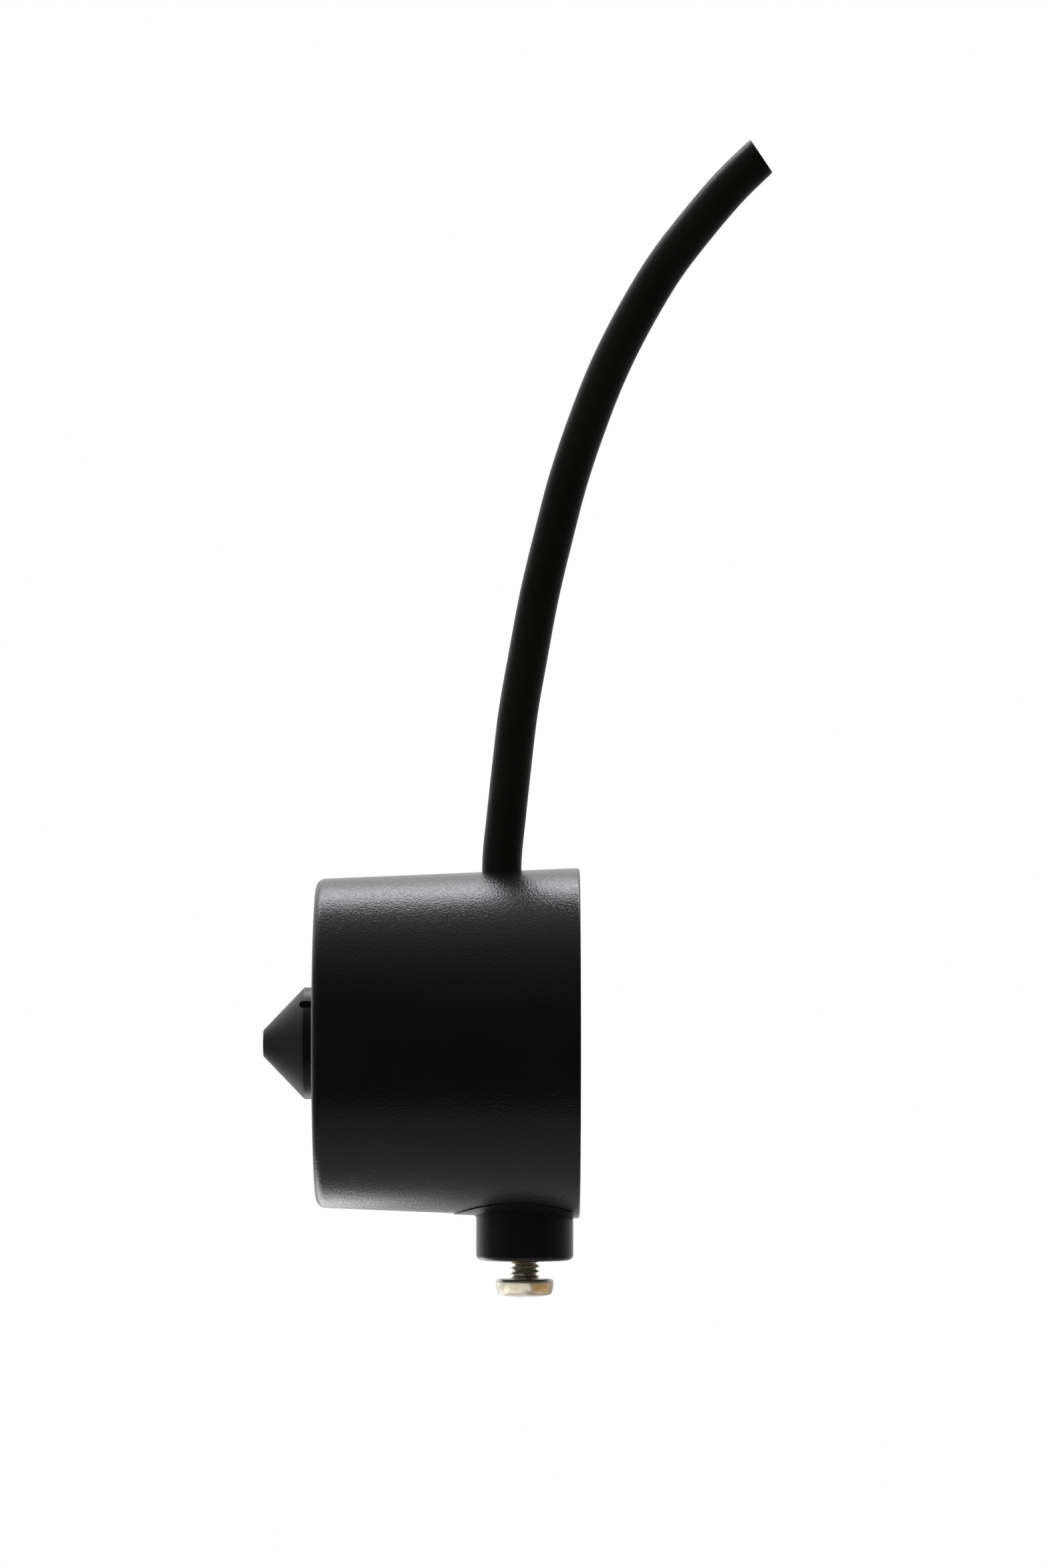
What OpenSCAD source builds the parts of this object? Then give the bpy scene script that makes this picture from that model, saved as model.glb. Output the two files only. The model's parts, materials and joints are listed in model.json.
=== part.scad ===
// Miniature pinhole-lens camera head: a tapered round housing with a cone-nosed lens,
// a fly lead out of its top and a boss with a clamp screw underneath. Millimetres.
// Origin: centre of the boss's end face. +Z is up, and the lens looks along -X.

/* [Housing] */
// Length of the housing, front face to rear face
body_length = 36; // [35.5:0.1:37]
// Diameter of the housing at its front face
front_d = 45; // [44.6:0.1:46]
// Diameter of the housing at its rear face
rear_d = 48; // [47.8:0.1:49]
// Thickness of the round wall
wall = 2.6; // [2.4:0.1:2.8]
// Thickness of the front wall
front_wall = 2.5; // [2.2:0.1:2.6]
// Radius of the rounded front edge
front_edge_r = 1.3; // [0.8:0.1:1.8]
// Thickness of the rear cover
cover_t = 2.5; // [2.3:0.1:2.6]
// Thickness of the gasket under the rear cover
gasket_t = 0.5; // [0.3:0.1:0.6]

/* [Mounting boss] */
// Height of the housing's axis above the boss's end face
axis_h = 29.7; // [29.5:0.1:30.2]
// Diameter of the boss
boss_d = 13.3; // [12.5:0.1:13.6]
// Distance from the boss's axis to the rear face
boss_to_rear = 7.5; // [7.4:0.1:7.8]
// Radius of the boss's rounded end edge
boss_edge_r = 0.75; // [0.3:0.05:1]
// Radius of the small fillet between the boss and the pad
boss_fillet_r = 0.5; // [0.2:0.1:0.8]
// Diameter of the raised pad around the boss
pad_d = 19.4; // [18:0.2:22]
// How far the pad stands proud of the round wall
pad_rise = 0.15; // [0.1:0.05:0.4]
// Outside diameter of the brass insert
insert_d = 5.6; // [5.2:0.1:6]
// Length of the brass insert
insert_length = 7; // [6:0.5:7.5]

/* [Clamp screw] */
// Thread diameter
screw_d = 4; // [4]
// Thread pitch
screw_pitch = 0.7; // [0.7]
// Length under the head
screw_length = 8; // [7:0.5:8]
// Head diameter
head_d = 7.9; // [7.5:0.1:8]
// Head height
head_h = 2.6; // [2.4:0.1:2.8]
// Gap between the head and the boss, where a bracket's plate goes
clamp_gap = 2.5; // [2:0.1:3]

/* [Lens] */
// Diameter of the rim behind the cone
rim_d = 15.3; // [15:0.1:15.4]
// How far the rim stands out of the front face
rim_stand = 1.7; // [1.2:0.1:1.8]
// Height of the cone
cone_h = 5.55; // [5.4:0.05:5.8]
// Diameter of the flat at the cone's tip
tip_d = 3.6; // [3.4:0.1:3.8]
// Diameter of the pinhole in the tip
pinhole_d = 1; // [0.6:0.1:1.2]
// Diameter of the lens thread
lens_thread_d = 12; // [12]
// Width of the two spanner slots in the rim
slot_w = 0.9; // [0.7:0.1:1.1]
// Height of the slot on the -Y side above the lens axis; the other is as far below it
slot_rise = 5.3; // [4:0.1:6]

/* [Boards] */
// Diameter of the round circuit boards
board_d = 37; // [36.6:0.2:37.2]
// Thickness of a circuit board
board_t = 1.6; // [1.6]
// Distance from the front face to the sensor board's front
sensor_board_at = 18; // [18]
// Clear distance between the two boards
board_gap = 10; // [10]

/* [Cable] */
// Diameter of the cable
cable_d = 5.4; // [5:0.1:5.6]
// Distance from the cable's axis to the rear face
cable_to_rear = 10.6; // [10.4:0.1:10.8]
// Slope of the cut end's normal, up from the horizontal
cut_slope = 34; // [28:1:44]
// Diameter of one insulated core
core_d = 1.1; // [0.9:0.1:1.2]

/* [Hidden] */

$fn = 72;
// overlap that fuses two shapes of one piece
fuse = 0.05;

// Housing
front_r = front_d / 2;
rear_r = rear_d / 2;
front_x = boss_to_rear - body_length;
taper = atan((rear_r - front_r) / body_length);
rear_edge_r = 0.4;
seat_at = body_length - cover_t - gasket_t;
lip_t = 1.1;
rebate_r = rear_r - lip_t;
lens_hole_r = rim_d / 2 + 0.3;
lens_hole_edge = 0.25;

// Round wall's outside radius at a distance behind the front face
function outer_r(at) = front_r + (rear_r - front_r) * at / body_length;

// Screw columns at the wall, and board pillars inside them, by clock angle from the top
column_clocks = [45, 135, 225, 315];
column_ring_r = 18.4;
column_r = 2.8;
pillar_clocks = [90, 180, 270];
pillar_ring_r = 15.5;
pillar_r = 2.5;

// Cover screws, countersunk
cover_screw_r = 1.25;
cover_screw_length = 8;
cover_head_r = 2.35;
cover_play = 0.1;

// Board screws and spacers
board_screw_r = 1;
board_screw_bite = 5;
board_head_r = 1.9;
board_head_h = 1.2;
spacer_r = 2;

// Boss
boss_r = boss_d / 2;
inner_pad_r = 4.5;
inner_pad_top = 11;
pad_end = body_length - 1;
tip_well_r = 2.3;
tip_well = 9;
insert_bore_r = screw_d / 2 + 0.05;

// Clamp screw
thread_root_r = screw_d / 2 - 0.47;
head_edge_r = 0.35;

// Lens, along its axis from the housing's front face
rim_r = rim_d / 2;
tip_at = -rim_stand - cone_h;
rim_end = 1.9;
rim_edge = 0.15;
barrel_end = 12.9;
barrel_r = lens_thread_d / 2 - 0.05;
front_bore_r = 1.5;
middle_bore_r = 3.1;
rear_bore_r = 4.4;
pinhole_depth = 0.6;
middle_bore_at = -4;
rear_bore_at = 2;
middle_element_t = 1.6;
rear_element_t = 3.2;
retaining_ring_t = 1.5;
slot_floor = 4.5;
slot_run = 0.5;
glass_play = 0.02;

// Lens holder
holder_front = 6;
holder_tube_r = 7.2;
holder_base_at = 11.5;
holder_base_w = 16.5;
holder_bore_end = 13.3;
filter_at = 13.9;
filter_t = 0.7;
filter_w = 9;
cavity_w = 13;
aperture_r = 4.2;
ear_ring_r = 10;
ear_r = 2.5;
ear_t = 3.5;
lock_screw_at = 8.5;
lock_screw_r = 0.8;
lock_boss_r = 1.9;
lock_boss_top = 8.8;

// Boards
board_r = board_d / 2;
sensor_board_back = sensor_board_at + board_t;
power_board_at = sensor_board_back + board_gap;
power_board_back = power_board_at + board_t;
notch_r = column_r + 0.3;
sensor_package_w = 11.4;
sensor_package_t = 1.5;
sensor_glass_w = 9;
sensor_glass_t = 0.5;

// Board link: a row of pins on the sensor board and its socket on the power board
link_pins = 6;
link_pitch = 2.54;
link_y = -11;
link_w = 2.5;
link_base_t = 2.5;
link_pin_w = 0.64;
link_pin_reach = 6;

// Wire header and plug on the power board
wire_ys = [-3, -1, 1, 3];
header_w = 10;
header_h = 4.8;
header_top = 24.6;
header_length = 7.6;
header_floor = 1.4;
plug_w = 8.2;
plug_t = 3.4;
plug_out = 2.4;
plug_x = front_x + power_board_at - header_h / 2;
plug_top = header_top + plug_out;

// Cable, in the plane y = 0, as [x, z] from its inner end to its cut end
cable_r = cable_d / 2;
cable_x = boss_to_rear - cable_to_rear;
cable_hole_r = cable_r + 0.05;
cable_sides = 12;
cable_route = [
    [cable_x, 44], [cable_x, 50], [cable_x, 55], [-2.5, 61], [-1.8, 67.5], [-0.9, 75],
    [0.5, 83], [2, 91], [3.9, 99], [6, 107], [8.7, 115], [11.5, 122], [15, 129],
    [19.2, 136], [23.8, 142], [28.1, 147], [32.4, 151.2]
];
tie_z = 46;
tie_w = 2.5;
tie_t = 1;
tie_head = [3.6, 4.6, 3.6];

// One core's route: x, z and how far it has fanned out from the cable's end to the plug
core_route = [
    [cable_x, 44, 0], [cable_x, 42, 0], [-2.8, 38, 0.2], [-2.2, 34, 0.6],
    [-1.7, 31, 0.9], [plug_x, 29, 1], [plug_x, plug_top, 1]
];
core_spot = 0.75;
core_sides = 8;

// Frames along the lens axis: local +Z points rearward, and clock() turns from the top towards +Y
module on_axis(at = 0) {
    translate([front_x + at, 0, axis_h]) rotate([0, 90, 0]) children();
}

module clock(angle, ring_r = 0) {
    rotate([0, 0, 180 - angle]) translate([ring_r, 0, 0]) children();
}

// A box on a board, from its centre (across = y, up = z from the axis), its size and its near face
module on_board(across, up, size, at) {
    translate([front_x + at, across - size[0] / 2, axis_h + up - size[1] / 2])
        cube([size[2], size[0], size[1]]);
}

function unit(v) = v / norm(v);

function heading(path, i) = unit(path[min(i + 1, len(path) - 1)] - path[max(i - 1, 0)]);

function ring(centre, along, r, sides) =
    let (a = unit(cross([0, 1, 0], along)), b = cross(along, a))
    [for (k = [0:sides - 1]) centre + r * (cos(360 * k / sides) * a + sin(360 * k / sides) * b)];

// A closed tube swept along a path, its last ring square to last_heading
module tube(path, r, sides, last_heading) {
    last = len(path) - 1;
    points = [
        for (i = [0:last])
            each ring(path[i], i == last ? last_heading : heading(path, i), r, sides)
    ];
    sides_faces = [
        for (i = [0:last - 1], k = [0:sides - 1])
            let (next = (k + 1) % sides)
            [i * sides + k, i * sides + next, (i + 1) * sides + next, (i + 1) * sides + k]
    ];
    inner_end = [for (k = [0:sides - 1]) sides - 1 - k];
    outer_end = [for (k = [0:sides - 1]) last * sides + k];
    polyhedron(points = points, faces = concat([inner_end], sides_faces, [outer_end]), convexity = 10);
}

// Housing: a cup with its front wall, open at the rear
module housing() color([0.1, 0.1, 0.11]) difference() {
    union() {
        difference() {
            union() {
                on_axis() rotate_extrude($fn = 144)
                    polygon(concat([[0, 0]], front_edge(), rear_edge(), [[0, body_length]]));
                raised_pad();
                boss();
            }
            cavity();
        }
        columns_and_pillars();
        inner_pad();
    }
    on_axis(-fuse) cylinder(r = lens_hole_r, h = front_wall + 2 * fuse);
    on_axis(-fuse)
        cylinder(r1 = lens_hole_r + lens_hole_edge + fuse, r2 = lens_hole_r, h = lens_hole_edge + fuse);
    translate([cable_x, 0, axis_h + pillar_ring_r]) cylinder(r = cable_hole_r, h = rear_r);
    screw_holes();
    insert_hole();
}

function front_edge() =
    let (centre_r = front_r - front_edge_r * (1 - sin(taper)) / cos(taper), steps = 8)
    [
        for (i = [0:steps])
            let (a = -90 + (90 - taper) * i / steps)
            [centre_r + front_edge_r * cos(a), front_edge_r + front_edge_r * sin(a)]
    ];

function rear_edge() =
    let (centre_at = body_length - rear_edge_r, steps = 5)
    let (centre_r = outer_r(centre_at) - rear_edge_r / cos(taper))
    [
        for (i = [0:steps])
            let (a = -taper + (90 + taper) * i / steps)
            [centre_r + rear_edge_r * cos(a), centre_at + rear_edge_r * sin(a)]
    ];

module cavity() {
    on_axis() rotate_extrude($fn = 144) polygon([
        [0, front_wall],
        [outer_r(front_wall) - wall, front_wall],
        [outer_r(seat_at) - wall, seat_at],
        [rebate_r, seat_at],
        [rebate_r, body_length + fuse],
        [0, body_length + fuse]
    ]);
}

// The wall's lower half, proud by a rise, up to the pad's rear end
module proud_wall(rise) {
    on_axis(front_edge_r) cylinder(
        r1 = outer_r(front_edge_r) + rise, r2 = outer_r(pad_end) + rise, h = pad_end - front_edge_r, $fn = 144
    );
}

module raised_pad() {
    intersection() {
        proud_wall(pad_rise);
        cylinder(d = pad_d, h = inner_pad_top, $fn = 96);
    }
}

module boss() {
    steps = 6;
    end_edge = [
        for (i = [0:steps])
            let (a = -90 + 90 * i / steps)
            [boss_r - boss_edge_r + boss_edge_r * cos(a), boss_edge_r + boss_edge_r * sin(a)]
    ];
    root = inner_pad_top - 2;
    rotate_extrude($fn = 96) polygon(concat([[0, 0]], end_edge, [[boss_r, root], [0, root]]));
    fillet_steps = 4;
    for (i = [1:fillet_steps]) {
        a = 90 * (i - 0.5) / fillet_steps;
        intersection() {
            proud_wall(pad_rise + boss_fillet_r * (1 - sin(a)));
            cylinder(r = boss_r + boss_fillet_r * (1 - cos(a)), h = inner_pad_top, $fn = 96);
        }
    }
}

module inner_pad() {
    sunk = 0.5;
    translate([0, 0, insert_length - sunk]) cylinder(r = inner_pad_r, h = inner_pad_top - insert_length + sunk);
}

module insert_hole() {
    translate([0, 0, -fuse]) cylinder(d = insert_d, h = insert_length + fuse);
    cylinder(r = tip_well_r, h = tip_well);
}

module columns_and_pillars() {
    low = front_wall - fuse;
    for (angle = column_clocks)
        on_axis(low) clock(angle, column_ring_r) cylinder(r = column_r, h = seat_at - low);
    for (angle = pillar_clocks)
        on_axis(low) clock(angle, pillar_ring_r) cylinder(r = pillar_r, h = sensor_board_at - low);
}

module screw_holes() {
    spare = 0.5;
    column_hole = cover_screw_length - cover_t - gasket_t + spare;
    pillar_hole = board_screw_bite + spare;
    for (angle = column_clocks)
        on_axis(seat_at - column_hole) clock(angle, column_ring_r)
            cylinder(r = cover_screw_r, h = column_hole + fuse);
    for (angle = pillar_clocks)
        on_axis(sensor_board_at - pillar_hole) clock(angle, pillar_ring_r)
            cylinder(r = board_screw_r, h = pillar_hole + fuse);
}

// Rear cover, its gasket and its countersunk screws
module rear_cover() color([0.1, 0.1, 0.11]) difference() {
    on_axis(body_length - cover_t) rotate_extrude($fn = 144) polygon([
        [0, 0], [rebate_r - cover_play, 0], [rebate_r - cover_play, cover_t - 0.2],
        [rebate_r - cover_play - 0.2, cover_t], [0, cover_t]
    ]);
    for (angle = column_clocks) on_axis(body_length - cover_t) clock(angle, column_ring_r) {
        translate([0, 0, -fuse]) cylinder(r = cover_screw_r + cover_play, h = cover_t + 2 * fuse);
        translate([0, 0, cover_t - cover_head_r])
            cylinder(r1 = cover_play, r2 = cover_head_r + cover_play + fuse, h = cover_head_r + fuse);
    }
}

module cover_gasket() color([0.16, 0.16, 0.17]) {
    on_axis(seat_at) difference() {
        cylinder(r = rebate_r - cover_play, h = gasket_t, $fn = 144);
        translate([0, 0, -fuse])
            cylinder(r = outer_r(seat_at) - wall + 0.2, h = gasket_t + 2 * fuse, $fn = 144);
    }
}

module cover_screws() color([0.2, 0.2, 0.21]) {
    for (angle = column_clocks) on_axis(body_length) clock(angle, column_ring_r) difference() {
        union() {
            translate([0, 0, -cover_screw_length])
                cylinder(r = cover_screw_r, h = cover_screw_length - cover_screw_r);
            translate([0, 0, cover_screw_r - cover_head_r - 0.1])
                cylinder(r1 = cover_screw_r, r2 = cover_head_r, h = cover_head_r - cover_screw_r);
            translate([0, 0, -cover_head_r]) cylinder(r = cover_screw_r, h = cover_head_r - 0.2);
        }
        cross_recess(2.6, 0.55, 0.8);
    }
}

// A cross recess cut down from z = 0: its span, its wing width and its depth
module cross_recess(span, wing, depth) {
    for (turn = [0, 90]) rotate([0, 0, turn])
        translate([-span / 2, -wing / 2, -depth]) cube([span, wing, depth + 1]);
}

// Brass insert moulded into the boss, with two grooves that key it
module boss_insert() color([0.72, 0.56, 0.25]) {
    groove_r = insert_d / 2 - 0.3;
    difference() {
        rotate_extrude() polygon([
            [insert_bore_r, 0], [insert_d / 2, 0], [insert_d / 2, 2], [groove_r, 2.2], [groove_r, 3],
            [insert_d / 2, 3.2], [insert_d / 2, 4], [groove_r, 4.2], [groove_r, 5],
            [insert_d / 2, 5.2], [insert_d / 2, insert_length], [insert_bore_r, insert_length]
        ]);
        translate([0, 0, -fuse]) cylinder(r1 = insert_bore_r + 0.35, r2 = insert_bore_r, h = 0.35);
    }
}

// Clamp screw: pan head with a cross recess, thread drawn as closed ridges
module clamp_screw() color([0.82, 0.78, 0.7]) difference() {
    low = -clamp_gap - head_h;
    rotate_extrude()
        polygon(concat([[0, low]], head_side(), thread_side(), [[0, screw_length - clamp_gap]]));
    translate([0, 0, low]) rotate([180, 0, 12]) cross_recess(4.6, 1.1, 1.6);
}

function head_side() =
    let (r = head_d / 2, top = -clamp_gap, low = -clamp_gap - head_h, steps = 5)
    concat(
        [[r * 0.35, low + 0.03], [r * 0.6, low + 0.16], [r * 0.78, low + 0.36], [r * 0.88, low + 0.6]],
        [[r * 0.935, low + 0.95], [r, top - 0.8]],
        [
            for (i = [0:steps])
                let (a = 90 * i / steps)
                [r - head_edge_r * (1 - cos(a)), top - head_edge_r * (1 - sin(a))]
        ]
    );

function thread_side() =
    let (start = 0.55 - clamp_gap, turns = floor((screw_length - 1) / screw_pitch), crest = screw_d / 2)
    concat(
        [[crest, -clamp_gap], [crest, start - 0.2]],
        [
            for (i = [0:turns - 1], k = [0, 1])
                [k == 0 ? thread_root_r : crest, start + screw_pitch * (i + 0.5 * k) + 0.15]
        ],
        [[thread_root_r, screw_length - clamp_gap]]
    );

// Lens barrel: cone, rim with two spanner slots, and the threaded tube
module lens_barrel() color([0.12, 0.12, 0.12]) difference() {
    on_axis() rotate_extrude() polygon([
        [pinhole_d / 2, tip_at], [tip_d / 2, tip_at], [rim_r - rim_edge, -rim_stand - rim_edge / 2],
        [rim_r, -rim_stand + rim_edge / 2], [rim_r, rim_end],
        [barrel_r, rim_end], [barrel_r, barrel_end - 0.3], [barrel_r - 0.3, barrel_end],
        [rear_bore_r, barrel_end], [rear_bore_r, rear_bore_at], [middle_bore_r, rear_bore_at],
        [middle_bore_r, middle_bore_at], [front_bore_r, middle_bore_at],
        [front_bore_r, tip_at + pinhole_depth], [pinhole_d / 2, tip_at + pinhole_depth]
    ]);
    for (turn = [-90, 90]) on_axis(-rim_stand - slot_run) clock(turn) translate([slot_floor, -slot_rise, 0]) {
        translate([0, 0, slot_w / 2]) rotate([0, 90, 0]) cylinder(d = slot_w, h = rim_r, $fn = 24);
        translate([0, -slot_w / 2, slot_w / 2]) cube([rim_r, slot_w, rim_stand + slot_run + rim_end]);
    }
}

// Outline of a lens: flat or curved faces given by how far each bulges, negative for hollow
function lens_side(r, t, front_bulge, back_bulge) =
    let (steps = 6)
    concat(
        [
            for (i = [0:steps])
                [r * i / steps, front_bulge * (pow(i / steps, 2) - 1) + max(front_bulge, 0)]
        ],
        [
            for (i = [steps:-1:0])
                [r * i / steps, t - back_bulge * (pow(i / steps, 2) - 1) - max(back_bulge, 0)]
        ]
    );

module lens(at, r, t, front_bulge, back_bulge) {
    color([0.75, 0.82, 0.88, 0.5]) on_axis(at)
        rotate_extrude() polygon(lens_side(r - glass_play, t, front_bulge, back_bulge));
}

module front_element() lens(tip_at + pinhole_depth, front_bore_r, 1.4, 0, 0.3);

module middle_element() lens(middle_bore_at, middle_bore_r, middle_element_t, 0, 0.5);

module rear_element() lens(rear_bore_at, rear_bore_r, rear_element_t, 0, 0.6);

module sleeve(at, outer, inner, length) {
    on_axis(at) difference() {
        cylinder(r = outer, h = length);
        translate([0, 0, -fuse]) cylinder(r = inner, h = length + 2 * fuse);
    }
}

module lens_spacer() color([0.1, 0.1, 0.1]) {
    at = middle_bore_at + middle_element_t;
    sleeve(at, middle_bore_r - glass_play, 2.4, rear_bore_at - at);
}

module retaining_ring() color([0.1, 0.1, 0.1])
    sleeve(rear_bore_at + rear_element_t, rear_bore_r - glass_play, 3.2, retaining_ring_t);

// Foam ring that shuts the gap between the front wall and the holder
module dust_seal() color([0.14, 0.14, 0.14])
    sleeve(front_wall, 10, lens_thread_d / 2 + 0.3, holder_front - front_wall);

// Lens holder: threaded tube, square base over the sensor, two ears and a lock screw boss
module lens_holder() color([0.08, 0.08, 0.08]) difference() {
    union() {
        on_axis(holder_front) cylinder(r = holder_tube_r, h = holder_base_at - holder_front + fuse);
        on_board(0, 0, [holder_base_w, holder_base_w, sensor_board_at - holder_base_at], holder_base_at);
        on_board(0, 0, [2 * ear_r, 2 * ear_ring_r, ear_t], sensor_board_at - ear_t);
        for (angle = [0, 180])
            on_axis(sensor_board_at - ear_t) clock(angle, ear_ring_r) cylinder(r = ear_r, h = ear_t);
        on_axis(lock_screw_at) rotate([0, -90, 0]) cylinder(r = lock_boss_r, h = lock_boss_top);
    }
    on_axis(holder_front - fuse) cylinder(r = lens_thread_d / 2, h = holder_bore_end - holder_front + fuse);
    on_axis(holder_bore_end - fuse) cylinder(r = aperture_r, h = filter_at - holder_bore_end + 2 * fuse);
    on_board(0, 0, [filter_w, filter_w, filter_t + 2 * fuse], filter_at);
    on_board(0, 0, [cavity_w, cavity_w, sensor_board_at - filter_at - filter_t + fuse], filter_at + filter_t);
    for (angle = [0, 180])
        on_axis(sensor_board_at - ear_t - fuse) clock(angle, ear_ring_r)
            cylinder(r = board_screw_r, h = ear_t + 2 * fuse);
    on_axis(lock_screw_at) rotate([0, -90, 0]) cylinder(r = lock_screw_r, h = lock_boss_top + fuse);
}

module lock_screw() color([0.6, 0.6, 0.6]) on_axis(lock_screw_at) rotate([0, -90, 0]) difference() {
    union() {
        translate([0, 0, lens_thread_d / 2 + 0.3])
            cylinder(r = lock_screw_r, h = lock_boss_top - lens_thread_d / 2);
        translate([0, 0, lock_boss_top]) cylinder(r = 1.5, h = 0.9);
    }
    translate([0, 0, lock_boss_top + 0.9]) cross_recess(1.6, 0.4, 0.5);
}

module holder_screws() color([0.6, 0.6, 0.6]) {
    for (angle = [0, 180]) on_axis(sensor_board_back) clock(angle, ear_ring_r) board_screw(ear_t + board_t);
}

// A small pan-head screw whose head bears at z = 0, its shank pointing along -Z
module board_screw(length) {
    difference() {
        union() {
            translate([0, 0, -length]) cylinder(r = board_screw_r, h = length + fuse);
            cylinder(r = board_head_r, h = board_head_h);
        }
        translate([0, 0, board_head_h]) cross_recess(2, 0.45, 0.7);
    }
}

// Optics and sensor under the holder
module ir_filter() color([0.55, 0.75, 0.8, 0.6])
    on_board(0, 0, [filter_w - 0.1, filter_w - 0.1, filter_t], filter_at);

module image_sensor() color([0.25, 0.22, 0.2])
    on_board(0, 0, [sensor_package_w, sensor_package_w, sensor_package_t], sensor_board_at - sensor_package_t);

module sensor_glass() color([0.7, 0.75, 0.8, 0.5]) {
    at = sensor_board_at - sensor_package_t - sensor_glass_t;
    on_board(0, 0, [sensor_glass_w, sensor_glass_w, sensor_glass_t], at);
}

// A round board with notches around the columns and holes for its screws
module round_board(at) {
    difference() {
        on_axis(at) cylinder(r = board_r, h = board_t, $fn = 96);
        for (angle = column_clocks)
            on_axis(at - fuse) clock(angle, column_ring_r) cylinder(r = notch_r, h = board_t + 2 * fuse);
        for (angle = pillar_clocks)
            on_axis(at - fuse) clock(angle, pillar_ring_r)
                cylinder(r = board_screw_r + 0.1, h = board_t + 2 * fuse);
    }
}

module sensor_board() color([0.05, 0.3, 0.15]) difference() {
    round_board(sensor_board_at);
    for (angle = [0, 180])
        on_axis(sensor_board_at - fuse) clock(angle, ear_ring_r)
            cylinder(r = board_screw_r + 0.1, h = board_t + 2 * fuse);
}

module power_board() color([0.05, 0.3, 0.15]) round_board(power_board_at);

// Image processor, memory, crystal and small passives on the sensor board's back
module sensor_board_chips() color([0.12, 0.12, 0.13]) {
    on_board(2, 1, [7, 7, 0.9], sensor_board_back);
    on_board(10, -5, [5, 4, 1.5], sensor_board_back);
    on_board(9.5, 4, [3.2, 2.5, 0.8], sensor_board_back);
    for (across = [-5, -2.5, 0, 2.5, 5]) on_board(across, -5.5, [0.8, 1.6, 0.8], sensor_board_back);
    for (across = [-1, 1.5, 4]) on_board(across, 7, [1.6, 0.8, 0.8], sensor_board_back);
}

// Regulator, inductor, diode and small passives on the power board's back
module power_board_chips() color([0.14, 0.14, 0.15]) {
    on_board(6, 6, [5, 5, 1.8], power_board_back);
    on_board(-4, 6, [5, 4, 1.6], power_board_back);
    on_board(7, -4, [4.3, 2.6, 1.6], power_board_back);
    for (across = [-6, -4, -2, 0, 2]) on_board(across, -2, [0.8, 1.6, 0.8], power_board_back);
}

module filter_capacitors() color([0.75, 0.76, 0.78]) {
    for (up = [6.5, -6.5]) {
        on_board(10.5, up, [6.6, 6.6, 0.8], power_board_at - 0.8);
        translate([front_x + power_board_at - 5.4, 10.5, axis_h + up]) rotate([0, 90, 0])
            cylinder(d = 6.3, h = 4.6 + fuse);
    }
}

module link_header() color([0.1, 0.1, 0.1]) {
    on_board(link_y, 0, [link_w, link_pins * link_pitch, link_base_t], sensor_board_back);
    for (i = [0:link_pins - 1])
        link_pin(i, link_pin_w, link_pin_reach);
}

module link_socket() color([0.1, 0.1, 0.1]) difference() {
    base_end = sensor_board_back + link_base_t;
    on_board(link_y, 0, [link_w, link_pins * link_pitch, board_gap - link_base_t], base_end);
    for (i = [0:link_pins - 1])
        link_pin(i, link_pin_w + 0.1, link_pin_reach + 0.5);
}

// One square pin standing on the header's base
module link_pin(i, w, reach) {
    on_board(link_y, link_up(i), [w, w, reach + fuse], sensor_board_back + link_base_t - fuse);
}

function link_up(i) = (i - (link_pins - 1) / 2) * link_pitch;

module board_spacers() color([0.72, 0.56, 0.25]) {
    for (angle = pillar_clocks) on_axis(sensor_board_back) clock(angle, pillar_ring_r) difference() {
        cylinder(r = spacer_r, h = board_gap);
        translate([0, 0, -fuse]) cylinder(r = board_screw_r + 0.1, h = board_gap + 2 * fuse);
    }
}

module board_screws() color([0.6, 0.6, 0.6]) {
    for (angle = pillar_clocks) on_axis(power_board_back) clock(angle, pillar_ring_r)
        board_screw(power_board_back - sensor_board_at + board_screw_bite);
}

// Wire header with its mouth upward, and the plug that goes into it
module wire_header() color([0.9, 0.88, 0.8]) difference() {
    translate([plug_x - header_h / 2, -header_w / 2, header_top - header_length])
        cube([header_h, header_w, header_length]);
    translate([plug_x - plug_t / 2 - 0.1, -plug_w / 2 - 0.1, header_top - header_length + header_floor])
        cube([plug_t + 0.2, plug_w + 0.2, header_length]);
}

module wire_plug() color([0.93, 0.91, 0.84]) {
    length = header_length - header_floor + plug_out;
    translate([plug_x - plug_t / 2, -plug_w / 2, plug_top - length]) cube([plug_t, plug_w, length]);
}

// One core, from its spot in the cable's end to its place on the plug
module core(i) {
    spot = [core_spot * (i % 2 == 0 ? -1 : 1), core_spot * (i < 2 ? -1 : 1)];
    path = [
        for (p = core_route)
            [p[0] + spot[0] * (1 - p[2]), spot[1] * (1 - p[2]) + wire_ys[i] * p[2], p[1]]
    ];
    tube(path, core_d / 2, core_sides, [0, 0, -1]);
}

module wire_red() color([0.7, 0.08, 0.06]) core(0);

module wire_black() color([0.05, 0.05, 0.05]) core(1);

module wire_yellow() color([0.85, 0.7, 0.1]) core(2);

module wire_white() color([0.88, 0.88, 0.86]) core(3);

// Tie around the cable inside the wall, which stops it from being pulled out
module cable_tie() color([0.85, 0.85, 0.82]) difference() {
    union() {
        translate([cable_x, 0, tie_z]) cylinder(r = cable_hole_r + tie_t, h = tie_w);
        translate([cable_x - tie_head[0] / 2, cable_r, tie_z + tie_w / 2 - tie_head[2] / 2]) cube(tie_head);
    }
    translate([cable_x, 0, tie_z - tie_head[2]]) cylinder(r = cable_hole_r, h = 3 * tie_head[2]);
}

module cable() color([0.06, 0.06, 0.06]) {
    tube([for (p = cable_route) [p[0], 0, p[1]]], cable_r, cable_sides, [cos(cut_slope), 0, sin(cut_slope)]);
}

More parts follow.
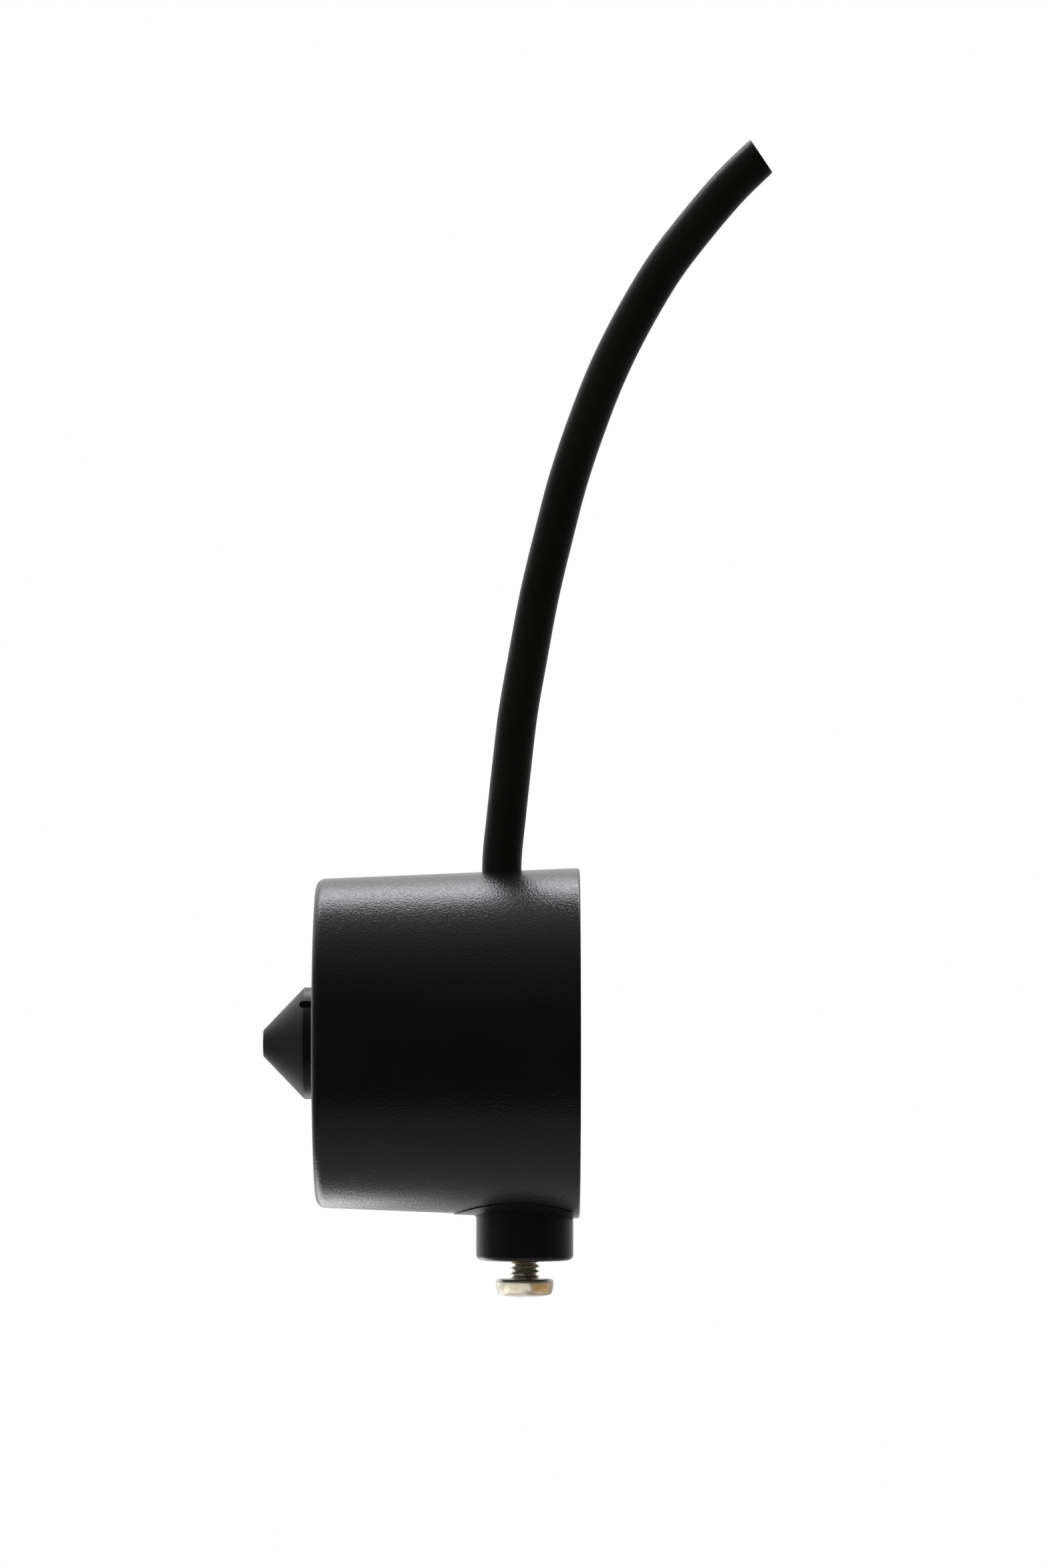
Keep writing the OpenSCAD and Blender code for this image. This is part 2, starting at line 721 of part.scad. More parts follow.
housing();
rear_cover();
cover_gasket();
cover_screws();
boss_insert();
clamp_screw();
lens_barrel();
front_element();
middle_element();
lens_spacer();
rear_element();
retaining_ring();
dust_seal();
lens_holder();
lock_screw();
holder_screws();
ir_filter();
sensor_glass();
image_sensor();
sensor_board();
sensor_board_chips();
power_board();
power_board_chips();
filter_capacitors();
link_header();
link_socket();
board_spacers();
board_screws();
wire_header();
wire_plug();
wire_red();
wire_black();
wire_yellow();
wire_white();
cable_tie();
cable();
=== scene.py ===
"""Looks of the pinhole-lens camera head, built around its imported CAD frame. Units are metres."""

import json
import math

import bmesh
import bpy
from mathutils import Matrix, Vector


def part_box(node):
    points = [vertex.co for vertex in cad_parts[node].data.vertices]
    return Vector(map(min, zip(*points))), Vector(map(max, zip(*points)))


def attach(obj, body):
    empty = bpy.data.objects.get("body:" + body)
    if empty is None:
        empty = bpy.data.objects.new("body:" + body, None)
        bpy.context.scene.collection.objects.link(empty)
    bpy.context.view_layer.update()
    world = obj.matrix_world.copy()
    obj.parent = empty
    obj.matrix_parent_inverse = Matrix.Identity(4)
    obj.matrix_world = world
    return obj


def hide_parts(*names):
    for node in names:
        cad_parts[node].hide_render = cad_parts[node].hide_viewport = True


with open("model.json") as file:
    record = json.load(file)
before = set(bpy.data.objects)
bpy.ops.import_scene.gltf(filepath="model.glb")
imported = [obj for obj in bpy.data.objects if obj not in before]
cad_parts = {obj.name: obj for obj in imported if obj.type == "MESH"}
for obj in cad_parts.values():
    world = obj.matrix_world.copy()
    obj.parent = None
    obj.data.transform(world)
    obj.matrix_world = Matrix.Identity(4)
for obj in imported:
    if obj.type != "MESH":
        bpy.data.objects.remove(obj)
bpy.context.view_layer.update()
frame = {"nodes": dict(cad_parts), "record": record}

MM = 0.001

# ---------------------------------------------------------------- driving sizes, from the frame
BARREL_LOW, BARREL_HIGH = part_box("lens_barrel")
SCREW_LOW, SCREW_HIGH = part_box("clamp_screw")

AXIS_Z = (BARREL_LOW.z + BARREL_HIGH.z) / 2

# Cable. Its cut end faces CUT_SLOPE above the X axis, and CUT_TURN out of the plane y = 0 sets the cut
# edge-on to the camera
CABLE_D = 5.4 * MM
CABLE_R = CABLE_D / 2
CUT_SLOPE = math.radians(34)
CUT_TURN = math.radians(-6.5)
CUT_HOLLOW = 0.5 * MM
JACKET_BORE_R = 1.85 * MM
CORE_R = 0.65 * MM
CORE_SPOT = 0.98 * MM
STRAND_R = 0.12 * MM
STRANDS_R = 0.4 * MM
CORE_COLOURS = ("red", "black", "yellow", "white")

# Clamp screw. Lengths are in millimetres and turns go from the X axis. DOME_H is its face's bulge
SCREW_R = 2.0
THREAD_PITCH = 0.7
THREAD_ROOT_R = 1.57
THREAD_START_TURN = math.radians(258)
HEAD_D = 7.9
HEAD_H = 2.55
DOME_H = 0.36
RECESS_TURN = math.radians(12)

# The cable's route in the plane y = 0, as (x, z) in millimetres, from its inner end to its cut end
CABLE_ROUTE = [
    (-3.1, 44), (-3.1, 50), (-3.1, 55), (-2.5, 61), (-1.8, 67.5), (-0.9, 75),
    (0.5, 83), (2, 91), (3.9, 99), (6, 107), (8.7, 115), (11.5, 122), (15, 129),
    (19.2, 136), (23.8, 142), (28.1, 147), (32.4, 151.2),
]


# ---------------------------------------------------------------- camera, floor and light
def make_camera():
    """A level long-lens camera beside the object, in line with its lens, shifted up to take in the cable."""
    distance = 0.82
    view_x = -0.0001
    view_height = 0.2147
    view_middle = 0.0652
    data = bpy.data.cameras.new("camera")
    data.sensor_width = 36
    data.lens = data.sensor_width * distance / view_height
    data.clip_start = 0.05
    data.clip_end = 20
    camera = bpy.data.objects.new("camera", data)
    camera.location = (view_x, -distance, AXIS_Z)
    data.shift_y = (view_middle - AXIS_Z) / view_height
    camera.rotation_euler = (math.radians(90), 0, 0)
    bpy.context.scene.collection.objects.link(camera)
    bpy.context.scene.camera = camera


def ramp_over(tree, value, stops):
    """A grey that goes through the stops, (value, grey), as a direction's part goes from -1 to 1."""
    place = tree.nodes.new("ShaderNodeMapRange")
    place.inputs["From Min"].default_value = -1
    place.inputs["From Max"].default_value = 1
    tree.links.new(value, place.inputs["Value"])
    ramp = tree.nodes.new("ShaderNodeValToRGB")
    elements = ramp.color_ramp.elements
    while len(elements) < len(stops):
        elements.new(0.5)
    for element, (at, grey) in zip(elements, stops):
        element.position = (at + 1) / 2
        element.color = (grey, grey, grey, 1)
    tree.links.new(place.outputs["Result"], ramp.inputs["Fac"])
    return ramp.outputs["Color"]


def times(tree, first, second):
    """The product of two colours."""
    node = tree.nodes.new("ShaderNodeMix")
    node.data_type = "RGBA"
    node.blend_type = "MULTIPLY"
    node.inputs["Factor"].default_value = 1
    tree.links.new(first, node.inputs["A"])
    tree.links.new(second, node.inputs["B"])
    return node.outputs["Result"]


def make_world():
    """A studio that is bright behind the object and dark on the camera's side; the camera sees it white."""
    world = bpy.data.worlds.new("studio")
    bpy.context.scene.world = world
    world.use_nodes = True
    tree = world.node_tree
    tree.nodes.clear()
    direction = tree.nodes.new("ShaderNodeTexCoord")
    split = tree.nodes.new("ShaderNodeSeparateXYZ")
    tree.links.new(direction.outputs["Generated"], split.inputs[0])
    depth = ramp_over(tree, split.outputs["Y"], [
        (-1, 0.055), (-0.85, 0.075), (-0.6, 0.12), (-0.3, 0.19),
        (-0.1, 0.23), (0.2, 0.36), (0.45, 0.75), (0.7, 1),
    ])
    sideways = ramp_over(tree, split.outputs["X"], [
        (-1, 0.6), (-0.6, 0.9), (0, 1), (0.3, 0.8), (0.7, 0.4), (1, 0.4),
    ])
    upward = ramp_over(tree, split.outputs["Z"], [(-1, 0.3), (-0.5, 0.4), (-0.1, 0.6), (0.5, 0.7), (1, 1)])
    lit = tree.nodes.new("ShaderNodeBackground")
    tree.links.new(times(tree, times(tree, depth, sideways), upward), lit.inputs["Color"])
    lit.inputs["Strength"].default_value = 1.5
    seen = tree.nodes.new("ShaderNodeBackground")
    seen.inputs["Color"].default_value = (1, 1, 1, 1)
    rays = tree.nodes.new("ShaderNodeLightPath")
    mix = tree.nodes.new("ShaderNodeMixShader")
    output = tree.nodes.new("ShaderNodeOutputWorld")
    tree.links.new(rays.outputs["Is Camera Ray"], mix.inputs["Fac"])
    tree.links.new(lit.outputs[0], mix.inputs[1])
    tree.links.new(seen.outputs[0], mix.inputs[2])
    tree.links.new(mix.outputs[0], output.inputs["Surface"])


def area_light(name, place, aim, size, power):
    """A rectangular lamp at a place, aimed at another, that the camera doesn't see."""
    data = bpy.data.lights.new(name, "AREA")
    data.shape = "RECTANGLE"
    data.size, data.size_y = size
    data.energy = power
    light = bpy.data.objects.new(name, data)
    light.location = place
    light.visible_camera = False
    light.rotation_euler = (Vector(aim) - Vector(place)).to_track_quat("-Z", "Y").to_euler()
    bpy.context.scene.collection.objects.link(light)
    return light


def make_lights(screw_head):
    """A soft box high behind, a low one behind that skims the housing's underside, and the head's cards."""
    overhead = area_light(
        "overhead", place=(0, 0.43, 0.69), aim=(0, 0, AXIS_Z), size=(0.9, 0.18), power=3.25,
    )
    overhead.data.color = (0.96, 0.94, 1)
    low_behind = area_light(
        "low_behind", place=(-0.06, 0.075, -0.055), aim=(-0.02, -0.01, 0.01), size=(0.08, 0.06), power=0.034,
    )
    # Its reflection would be a white patch on the screw head, so it leaves the head out
    all_but_head = bpy.data.collections.new("lit_from_behind")
    all_but_head.objects.link(screw_head)
    all_but_head.collection_objects[0].light_linking.link_state = "EXCLUDE"
    low_behind.light_linking.receiver_collection = all_but_head
    make_cards(screw_head)


def make_cards(screw_head):
    """Coloured cards that only the bright screw head mirrors: four stand round it and two lie under it."""
    only_head = bpy.data.collections.new("lit_by_cards")
    only_head.objects.link(screw_head)
    ivory = (1, 0.97, 0.88)
    pale = (1, 0.98, 0.94)
    tan = (1, 0.66, 0.28)
    head = Vector((0, 0, SCREW_LOW.z))
    standing = Vector((0, 0, -0.042))
    distance = 0.1
    card_height = 0.11
    for name, side, width, colour, strength in (
        ("ivory_card", -34, 0.30, ivory, 0.9),
        ("left_card", -118, 0.13, pale, 0.55),
        ("tan_card", 72, 0.24, tan, 0.36),
        ("rear_card", 180, 0.05, pale, 0.1),
    ):
        turn = math.radians(side)
        place = head + standing + distance * Vector((math.sin(turn), -math.cos(turn), 0))
        mirror_card(name, place, head, (width, card_height), colour, strength, only_head)
    table_size = (0.2, 0.2)
    up = Vector((0, 0, 1))
    for name, x, colour, strength in (("ivory_table", -0.087, ivory, 0.45), ("tan_table", 0.113, tan, 0.12)):
        place = head + Vector((x, 0.03, -0.055))
        mirror_card(name, place, place + up, table_size, colour, strength, only_head)


def mirror_card(name, place, aim, size, colour, strength, receivers):
    """A glowing card that only the receivers see. Its strength is its brightness, whatever its size."""
    card = area_light(name, place, aim, size, strength * math.pi * size[0] * size[1])
    card.data.color = colour
    card.light_linking.receiver_collection = receivers


def make_floor():
    """A round pale table top well below the object, which is held up by its bracket."""
    radius = 0.115
    height = -0.075
    mesh = bpy.data.meshes.new("floor")
    build = bmesh.new()
    bmesh.ops.create_circle(build, cap_ends=True, segments=96, radius=radius)
    build.to_mesh(mesh)
    build.free()
    floor = bpy.data.objects.new("floor", mesh)
    floor.location = (0, 0, height)
    bpy.context.scene.collection.objects.link(floor)
    floor.data.materials.append(plain_stage_material())


def plain_stage_material():
    """Matt pale grey from above; clear from below, so that the object's underside can be looked at."""
    material, shader, tree = principled("floor_pale")
    shader.inputs["Base Color"].default_value = (0.45, 0.45, 0.45, 1)
    shader.inputs["Roughness"].default_value = 0.8
    side = tree.nodes.new("ShaderNodeNewGeometry")
    clear = tree.nodes.new("ShaderNodeBsdfTransparent")
    mix = tree.nodes.new("ShaderNodeMixShader")
    output = next(n for n in tree.nodes if n.type == "OUTPUT_MATERIAL")
    tree.links.new(side.outputs["Backfacing"], mix.inputs["Fac"])
    tree.links.new(shader.outputs[0], mix.inputs[1])
    tree.links.new(clear.outputs[0], mix.inputs[2])
    tree.links.new(mix.outputs[0], output.inputs["Surface"])
    return material


# ---------------------------------------------------------------- materials
def principled(name):
    """A new material, its shader and its node tree."""
    material = bpy.data.materials.new(name)
    material.use_nodes = True
    tree = material.node_tree
    shader = next(n for n in tree.nodes if n.type == "BSDF_PRINCIPLED")
    return material, shader, tree


def noise(tree, size, detail=2.0, roughness=0.5, stretch=(1, 1, 1)):
    """A noise texture in the object's own space, whose features are about `size` metres across."""
    place = tree.nodes.new("ShaderNodeTexCoord")
    scale = tree.nodes.new("ShaderNodeMapping")
    scale.inputs["Scale"].default_value = stretch
    texture = tree.nodes.new("ShaderNodeTexNoise")
    texture.inputs["Scale"].default_value = 1 / size
    texture.inputs["Detail"].default_value = detail
    texture.inputs["Roughness"].default_value = roughness
    tree.links.new(place.outputs["Object"], scale.inputs["Vector"])
    tree.links.new(scale.outputs["Vector"], texture.inputs["Vector"])
    return texture.outputs["Fac"]


def spread(tree, value, low, high):
    """Maps the middle of a texture's range onto low to high."""
    node = tree.nodes.new("ShaderNodeMapRange")
    node.inputs["From Min"].default_value = 0.3
    node.inputs["From Max"].default_value = 0.7
    node.inputs["To Min"].default_value = low
    node.inputs["To Max"].default_value = high
    tree.links.new(value, node.inputs["Value"])
    return node.outputs["Result"]


def two_tone(tree, shader, value, dark, light):
    """Colours the surface from dark to light over the middle of a texture's range."""
    ramp = tree.nodes.new("ShaderNodeValToRGB")
    first, second = ramp.color_ramp.elements
    first.position = 0.35
    second.position = 0.65
    first.color = (*dark, 1)
    second.color = (*light, 1)
    tree.links.new(value, ramp.inputs["Fac"])
    tree.links.new(ramp.outputs["Color"], shader.inputs["Base Color"])


def bump(tree, shader, value, depth, under=None):
    """Raises the surface by up to `depth` metres where the value is high, on top of the bump under it."""
    node = tree.nodes.new("ShaderNodeBump")
    node.inputs["Strength"].default_value = 1
    node.inputs["Distance"].default_value = depth
    tree.links.new(value, node.inputs["Height"])
    if under is not None:
        tree.links.new(under, node.inputs["Normal"])
    tree.links.new(node.outputs["Normal"], shader.inputs["Normal"])
    return node.outputs["Normal"]


def surface(name, dark, light, rough, metallic=0.0, grain=0.3 * MM, depth=4e-6):
    """A mottled, grained surface: two close tones, a range of roughness and a fine bump."""
    material, shader, tree = principled(name)
    shader.inputs["Metallic"].default_value = metallic
    patches = noise(tree, 6 * MM, detail=4)
    two_tone(tree, shader, patches, dark, light)
    fine = noise(tree, grain, detail=2)
    tree.links.new(spread(tree, fine, rough[0], rough[1]), shader.inputs["Roughness"])
    bump(tree, shader, fine, depth)
    return material


def eroded_plastic(name):
    """Black moulded plastic with a fine spark-eroded texture that sparkles under a soft light."""
    material, shader, tree = principled(name)
    patches = noise(tree, 9 * MM, detail=3)
    two_tone(tree, shader, patches, (0.012, 0.0125, 0.014), (0.019, 0.0195, 0.021))
    grain = noise(tree, 0.3 * MM, detail=2, roughness=0.6)
    tree.links.new(spread(tree, grain, 0.17, 0.27), shader.inputs["Roughness"])
    bump(tree, shader, grain, 60e-6)
    return material


def glass(name, tint):
    """Clear tinted glass with the faintest haze."""
    material, shader, tree = principled(name)
    shader.inputs["Base Color"].default_value = (*tint, 1)
    shader.inputs["Transmission Weight"].default_value = 1
    shader.inputs["IOR"].default_value = 1.52
    haze = noise(tree, 2 * MM, detail=2)
    tree.links.new(spread(tree, haze, 0.01, 0.03), shader.inputs["Roughness"])
    return material


def cable_jacket():
    """Satin black PVC, very slightly wavy where it lies over the twisted cores."""
    material, shader, tree = principled("cable_jacket")
    patches = noise(tree, 14 * MM, detail=3)
    two_tone(tree, shader, patches, (0.024, 0.0238, 0.0205), (0.034, 0.0335, 0.0295))
    shader.inputs["Specular IOR Level"].default_value = 0.27
    smear = noise(tree, 2.2 * MM, detail=3, roughness=0.6)
    tree.links.new(spread(tree, smear, 0.33, 0.45), shader.inputs["Roughness"])
    lay = noise(tree, 2.5 * MM, detail=2)
    first = bump(tree, shader, lay, 20e-6)
    skin = noise(tree, 0.12 * MM, detail=1)
    bump(tree, shader, skin, 1.5e-6, under=first)
    return material


def nickel():
    """Bright nickel plate with faint draw marks."""
    material, shader, tree = principled("nickel_plate")
    shader.inputs["Metallic"].default_value = 1
    patches = noise(tree, 1.5 * MM, detail=3)
    two_tone(tree, shader, patches, (0.66, 0.61, 0.52), (0.78, 0.74, 0.66))
    fine = noise(tree, 0.12 * MM, detail=2)
    tree.links.new(spread(tree, fine, 0.2, 0.32), shader.inputs["Roughness"])
    bump(tree, shader, fine, 2e-6)
    return material


def anodised():
    """Black anodised aluminium, satin, with fine turning marks."""
    material, shader, tree = principled("black_anodised")
    patches = noise(tree, 4 * MM, detail=3)
    two_tone(tree, shader, patches, (0.016, 0.016, 0.0165), (0.024, 0.024, 0.0245))
    marks = noise(tree, 0.08 * MM, detail=1, stretch=(1, 0.08, 0.08))
    tree.links.new(spread(tree, marks, 0.36, 0.46), shader.inputs["Roughness"])
    bump(tree, shader, marks, 1.5e-6)
    return material


# ---------------------------------------------------------------- mesh helpers
def piece(name, build, body, material):
    """Makes an object from a bmesh, gives it its material, and rides it on its body."""
    bmesh.ops.recalc_face_normals(build, faces=build.faces)
    mesh = bpy.data.meshes.new(name)
    build.to_mesh(mesh)
    build.free()
    mesh.materials.append(material)
    mesh.shade_smooth()
    thing = bpy.data.objects.new(name, mesh)
    bpy.context.scene.collection.objects.link(thing)
    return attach(thing, body)


def skin(build, rings):
    """Joins rings of points into a tube with a flat cap on each end."""
    rows = [[build.verts.new(p) for p in ring] for ring in rings]
    count = len(rows[0])
    for low, high in zip(rows, rows[1:]):
        for k in range(count):
            after = (k + 1) % count
            build.faces.new((low[k], low[after], high[after], high[k]))
    build.faces.new(rows[0][::-1])
    build.faces.new(rows[-1])


def lathe(build, outline, sides=64):
    """Turns an outline of (radius, z) in millimetres round the Z axis."""
    rings = [
        [Vector((r * math.cos(turn), r * math.sin(turn), z)) * MM for turn in turns_of(sides)]
        for r, z in outline
    ]
    skin(build, rings)


def turns_of(sides):
    """The angles of a polygon's corners."""
    return [2 * math.pi * k / sides for k in range(sides)]


def arc(steps, start, end):
    """Angles in radians that go in equal steps from start to end, which are in degrees."""
    return [math.radians(start + (end - start) * k / steps) for k in range(steps + 1)]


def smooth_line(points, steps):
    """Catmull-Rom through the points, `steps` to a span."""
    padded = [2 * points[0] - points[1], *points, 2 * points[-1] - points[-2]]
    line = []
    for a, b, c, d in zip(padded, padded[1:], padded[2:], padded[3:]):
        for k in range(steps):
            t = k / steps
            line.append(0.5 * (2 * b + (c - a) * t + (2 * a - 5 * b + 4 * c - d) * t * t
                               + (3 * b - a - 3 * c + d) * t ** 3))
    return line + [points[-1]]


def circle(centre, along, radius, sides):
    """Points round a centre, square to `along`, which lies in or near the plane y = 0."""
    across = Vector((0, 1, 0)).cross(along).normalized()
    side = along.cross(across).normalized()
    return [
        centre + radius * (math.cos(turn) * across + math.sin(turn) * side)
        for turn in turns_of(sides)
    ]


# ---------------------------------------------------------------- cable
def route_points():
    """The cable's route, in metres."""
    return [Vector((x * MM, 0, z * MM)) for x, z in CABLE_ROUTE]


def cut_frame():
    """The cable's cut end: its centre, the cut's own direction, and the cable's heading there."""
    before, end = route_points()[-2:]
    normal = Vector((math.cos(CUT_SLOPE), math.tan(CUT_TURN), math.sin(CUT_SLOPE))).normalized()
    return end, normal, (end - before).normalized()


def make_core(colour, degrees, materials):
    """One insulated core that shows at the cable's cut, and its bundle of seven tinned strands."""
    end, normal, along = cut_frame()
    spot = circle(end, normal, CORE_SPOT, 360)[degrees]
    back = -CUT_HOLLOW * 1.2 * along
    rounding = 0.05 * MM
    sides = 24
    build = bmesh.new()
    skin(build, [
        circle(spot + back, normal, CORE_R, sides),
        circle(spot - 0.06 * MM * along, normal, CORE_R, sides),
        circle(spot, normal, CORE_R - rounding, sides),
        circle(spot, normal, STRANDS_R, sides),
        circle(spot - 0.1 * MM * along, normal, STRANDS_R, sides),
    ])
    insulation = colour + "_insulation"
    core = piece("core_" + colour, build, "head", materials[insulation])
    build = bmesh.new()
    around = circle(Vector(), normal, STRAND_R * 2, 6)
    for offset in [Vector()] + around:
        at = spot + offset
        tip = at - 0.02 * MM * along
        skin(build, [
            circle(at + back, normal, STRAND_R, 10),
            circle(tip - 0.03 * MM * along, normal, STRAND_R, 10),
            circle(tip, normal, STRAND_R * 0.7, 10),
        ])
    strands = piece("strands_" + colour, build, "head", materials["zinc_screw"])
    return [core, strands]


def make_cable(materials):
    """The round black cable, and the cores that show where it is cut."""
    line = smooth_line(route_points(), 6)
    end, cut_normal, cut_along = cut_frame()
    sides = 48
    rings = []
    for i, point in enumerate(line[:-1]):
        along = (line[i + 1] - line[max(i - 1, 0)]).normalized()
        rings.append(circle(point, along, CABLE_R, sides))
    rings += [
        circle(end - 0.04 * MM * cut_along, cut_normal, CABLE_R, sides),
        circle(end, cut_normal, CABLE_R - 0.03 * MM, sides),
        circle(end, cut_normal, JACKET_BORE_R, sides),
        circle(end - CUT_HOLLOW * cut_along, cut_normal, JACKET_BORE_R, sides),
    ]
    build = bmesh.new()
    skin(build, rings)
    cable = piece("cable_lead", build, "head", materials["cable_jacket"])
    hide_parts("cable")
    on_cable = []
    for k, colour in enumerate(CORE_COLOURS):
        on_cable += make_core(colour, 45 + 90 * k, materials)


# ---------------------------------------------------------------- clamp screw
def thread(build, low, high, first_turn):
    """A right-hand helical ridge between two heights, in millimetres, closed at both ends on the axis."""
    sides = 40
    # Its profile, as (part of a pitch, radius)
    ridge = [(0, SCREW_R), (0.1, SCREW_R), (0.44, THREAD_ROOT_R), (0.66, THREAD_ROOT_R)]
    steps = round((high - low) / THREAD_PITCH * sides)

    def point(step, part, radius):
        turn = first_turn + 2 * math.pi * step / sides
        z = low + THREAD_PITCH * (step / sides + part)
        return build.verts.new(Vector((radius * math.cos(turn), radius * math.sin(turn), z)) * MM)

    columns = [[point(step, part, radius) for part, radius in ridge] for step in range(steps + 1)]
    columns += [[point(steps + 1 + k, *ridge[0])] for k in range(sides)]
    for k in range(steps):
        near = columns[k] + [columns[k + sides][0]]
        far = columns[k + 1] + [columns[k + 1 + sides][0]]
        for a, b, c, d in zip(near, far, far[1:], near[1:]):
            build.faces.new((a, b, c, d))
    start = [column[0] for column in columns[:sides + 1]] + columns[0][:0:-1]
    end = columns[steps] + [column[0] for column in columns[:steps:-1]]
    for loop, z in ((start, low), (end, high + THREAD_PITCH)):
        centre = build.verts.new((0, 0, z * MM))
        for a, b in zip(loop, loop[1:] + loop[:1]):
            build.faces.new((a, b, centre))


def cross_cutter(low):
    """The tapered cross of a screwdriver's tip, as an object to cut with, for a face at a height in mm."""
    build = bmesh.new()
    rings = []
    for depth, reach, half_width in ((-1, 2.7, 0.6), (0, 2.3, 0.55), (1.1, 1.25, 0.45), (1.7, 0.55, 0.4)):
        corners = []
        for quarter in range(4):
            turn = RECESS_TURN + quarter * math.pi / 2
            for out, side in ((reach, -half_width), (reach, half_width), (half_width, half_width)):
                x = out * math.cos(turn) - side * math.sin(turn)
                y = out * math.sin(turn) + side * math.cos(turn)
                corners.append(Vector((x, y, low + depth)) * MM)
        rings.append(corners)
    skin(build, rings)
    bmesh.ops.recalc_face_normals(build, faces=build.faces)
    mesh = bpy.data.meshes.new("recess")
    build.to_mesh(mesh)
    build.free()
    return bpy.data.objects.new("recess", mesh)


def cut(thing, cutter):
    """Takes the cutter out of the thing's mesh, and removes the cutter."""
    collection = bpy.context.scene.collection
    collection.objects.link(cutter)
    step = thing.modifiers.new("cut", "BOOLEAN")
    step.object = cutter
    step.operation = "DIFFERENCE"
    step.solver = "EXACT"
    bpy.context.view_layer.update()
    seen = thing.evaluated_get(bpy.context.evaluated_depsgraph_get())
    mesh = bpy.data.meshes.new_from_object(seen)
    thing.modifiers.clear()
    old = thing.data
    thing.data = mesh
    bpy.data.meshes.remove(old)
    bpy.data.objects.remove(cutter)


def pan_head_outline(face, top):
    """The head from its neck, in the insert, down to its domed face, as (radius, z) in millimetres."""
    r = HEAD_D / 2
    neck = [(0.9, top + 1.2), (1.3, top + 0.9), (1.55, top + 0.5), (1.75, top + 0.25), (SCREW_R, top)]
    rim = [(r - 0.4 + 0.4 * math.sin(t), top - 0.5 + 0.5 * math.cos(t)) for t in arc(9, 0, 90)]
    side = [(r - inset, top - drop) for inset, drop in (
        (0, 0.8), (0.03, 1.1), (0.07, 1.37), (0.19, 1.83), (0.33, 2.1), (0.38, 2.16), (0.44, 2.19),
    )]
    dome_r = r - 0.48
    dome = [(reach * dome_r, face + DOME_H * reach ** 2) for reach in (1, 0.9, 0.75, 0.6, 0.4, 0.15)]
    return neck + rim + side + dome


def make_clamp_screw(material):
    """An M4 pan-head screw: its head with a cross recess, and its shank with a helical thread."""
    face = SCREW_LOW.z / MM
    top = face + HEAD_H
    tip = SCREW_HIGH.z / MM
    build = bmesh.new()
    lathe(build, pan_head_outline(face, top))
    head = piece("pan_head", build, "clamp_screw", material)
    cut(head, cross_cutter(face))
    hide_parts("clamp_screw")
    build = bmesh.new()
    core_r = THREAD_ROOT_R - 0.02
    lathe(build, [(core_r, top), (core_r, tip - 0.35), (1.1, tip)], 40)
    thread(build, top + 0.1, tip - 1.2, THREAD_START_TURN)
    shank = piece("threaded_shank", build, "clamp_screw", material)
    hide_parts("clamp_screw")
    return head


# ---------------------------------------------------------------- assembly
def dress(materials):
    """Gives every CAD node that stays its procedural material."""
    for name, thing in frame["nodes"].items():
        material = materials[frame_slot(name)]
        for entry in thing.material_slots:
            entry.material = material


def frame_slot(node):
    """The material slot that the part's record gives a node."""
    return next(s["material_slot"] for s in frame["record"]["subparts"] if s["node"] == node)


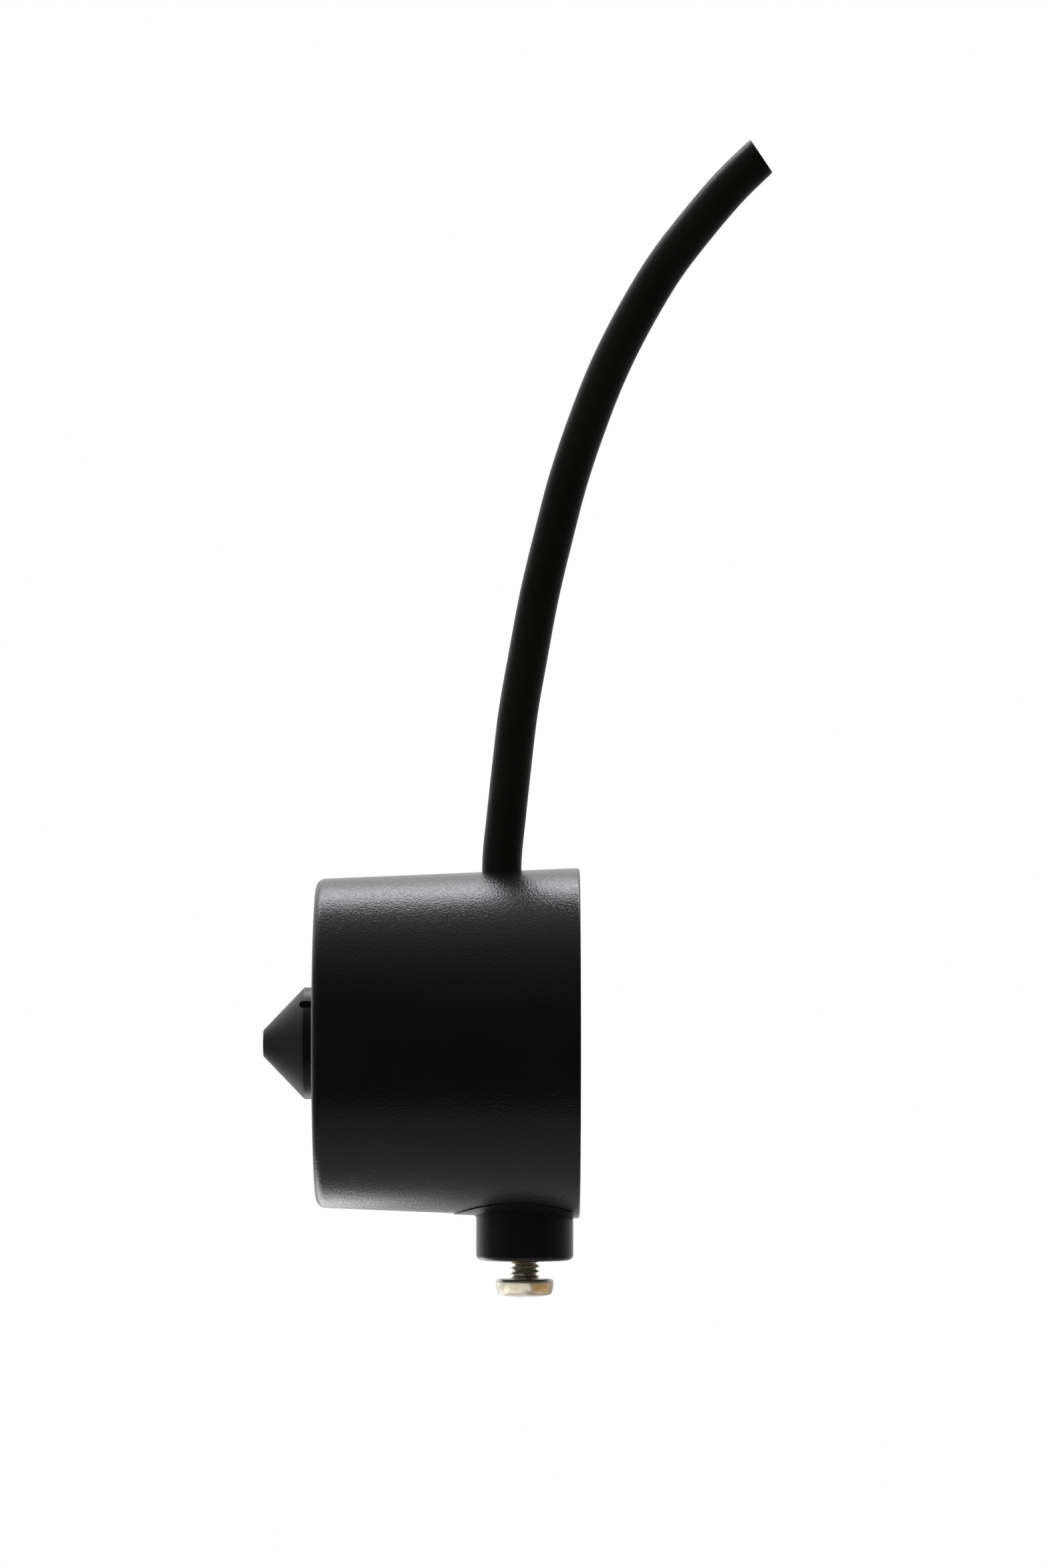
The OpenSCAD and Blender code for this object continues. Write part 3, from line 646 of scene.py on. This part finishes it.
def make_materials():
    """Every material of the object, by its slot."""
    return {
        "housing_plastic": eroded_plastic("housing_plastic"),
        "cover_plastic": eroded_plastic("cover_plastic"),
        "black_rubber": surface("black_rubber", (0.012,) * 3, (0.02,) * 3, (0.7, 0.85)),
        "black_steel": surface("black_steel", (0.02,) * 3, (0.035,) * 3, (0.3, 0.45), metallic=0.6),
        "brass": surface("brass", (0.60, 0.42, 0.17), (0.72, 0.53, 0.25), (0.2, 0.35), metallic=1),
        "nickel_screw": nickel(),
        "zinc_screw": surface("zinc_screw", (0.5, 0.51, 0.52), (0.63, 0.64, 0.66), (0.25, 0.4), metallic=1),
        "black_anodised": anodised(),
        "lens_glass": glass("lens_glass", (0.93, 0.95, 0.97)),
        "filter_glass": glass("filter_glass", (0.65, 0.86, 0.9)),
        "foam": surface("foam", (0.01,) * 3, (0.03,) * 3, (0.85, 0.98), grain=0.4 * MM, depth=60e-6),
        "holder_plastic": surface("holder_plastic", (0.012,) * 3, (0.022,) * 3, (0.5, 0.65)),
        "board": surface("board", (0.010, 0.085, 0.035), (0.016, 0.12, 0.05), (0.25, 0.4), grain=0.2 * MM),
        "chip": surface("chip", (0.014,) * 3, (0.024,) * 3, (0.45, 0.6)),
        "sensor_package": surface("sensor_package", (0.08, 0.07, 0.06), (0.12, 0.1, 0.09), (0.5, 0.65)),
        "capacitor_can": surface("capacitor_can", (0.62,) * 3, (0.75,) * 3, (0.2, 0.3), metallic=1),
        "connector_black": surface("connector_black", (0.013,) * 3, (0.02,) * 3, (0.4, 0.5)),
        "connector_ivory": surface("connector_ivory", (0.72, 0.66, 0.52), (0.8, 0.75, 0.62), (0.35, 0.45)),
        "red_insulation": surface(
            "red_insulation", (0.42, 0.015, 0.01), (0.52, 0.025, 0.018), (0.35, 0.45),
        ),
        "black_insulation": surface("black_insulation", (0.012,) * 3, (0.02,) * 3, (0.35, 0.45)),
        "yellow_insulation": surface("yellow_insulation", (0.7, 0.45, 0.03), (0.8, 0.55, 0.05), (0.35, 0.45)),
        "white_insulation": surface("white_insulation", (0.72,) * 3, (0.8,) * 3, (0.35, 0.45)),
        "tie_nylon": surface("tie_nylon", (0.6, 0.6, 0.55), (0.7, 0.7, 0.65), (0.35, 0.45)),
        "cable_jacket": cable_jacket(),
    }


make_camera()
materials = make_materials()
make_cable(materials)
screw_head = make_clamp_screw(materials["nickel_screw"])
make_world()
make_lights(screw_head)
make_floor()
dress(materials)
bpy.context.scene.view_settings.view_transform = "Standard"
